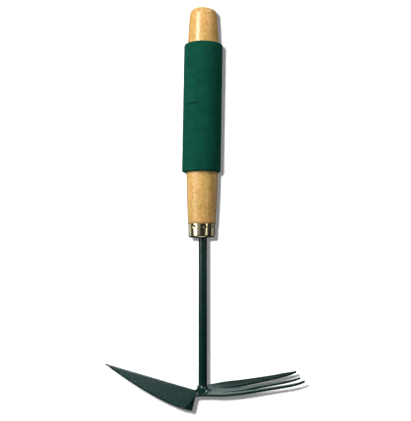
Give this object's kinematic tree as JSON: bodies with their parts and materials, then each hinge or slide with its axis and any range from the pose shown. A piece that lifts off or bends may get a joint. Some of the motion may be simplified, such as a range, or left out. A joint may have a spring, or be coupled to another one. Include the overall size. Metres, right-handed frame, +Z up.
{
  "type": "hand cultivator",
  "caption": "Hand cultivator with a turned wooden handle, foam grip, ferrule, steel rod shank and a sheet-steel head: ridged pointed blade one side, pronged fork the other.",
  "frame": {"origin": "on the handle's axis, half way along the foam grip", "axes": "+Z up the handle away from the head, +X towards the fork, -X towards the pointed blade; symmetric across Y = 0"},
  "size_m": [0.1841, 0.089, 0.3839],
  "materials": {
    "lacquered_wood": "clear gloss lacquer over blond hardwood",
    "green_foam": "matte closed-cell foam with a fine grain",
    "brass_plate": "bright plated, lightly dulled",
    "green_paint": "glossy dark green paint"
  },
  "bodies": {
    "root": {"wood_handle": "lacquered_wood", "foam_grip": "green_foam", "ferrule": "brass_plate", "shank": "green_paint", "tool_head": "green_paint", "weld_bead": "green_paint"}
  },
  "joints": []
}
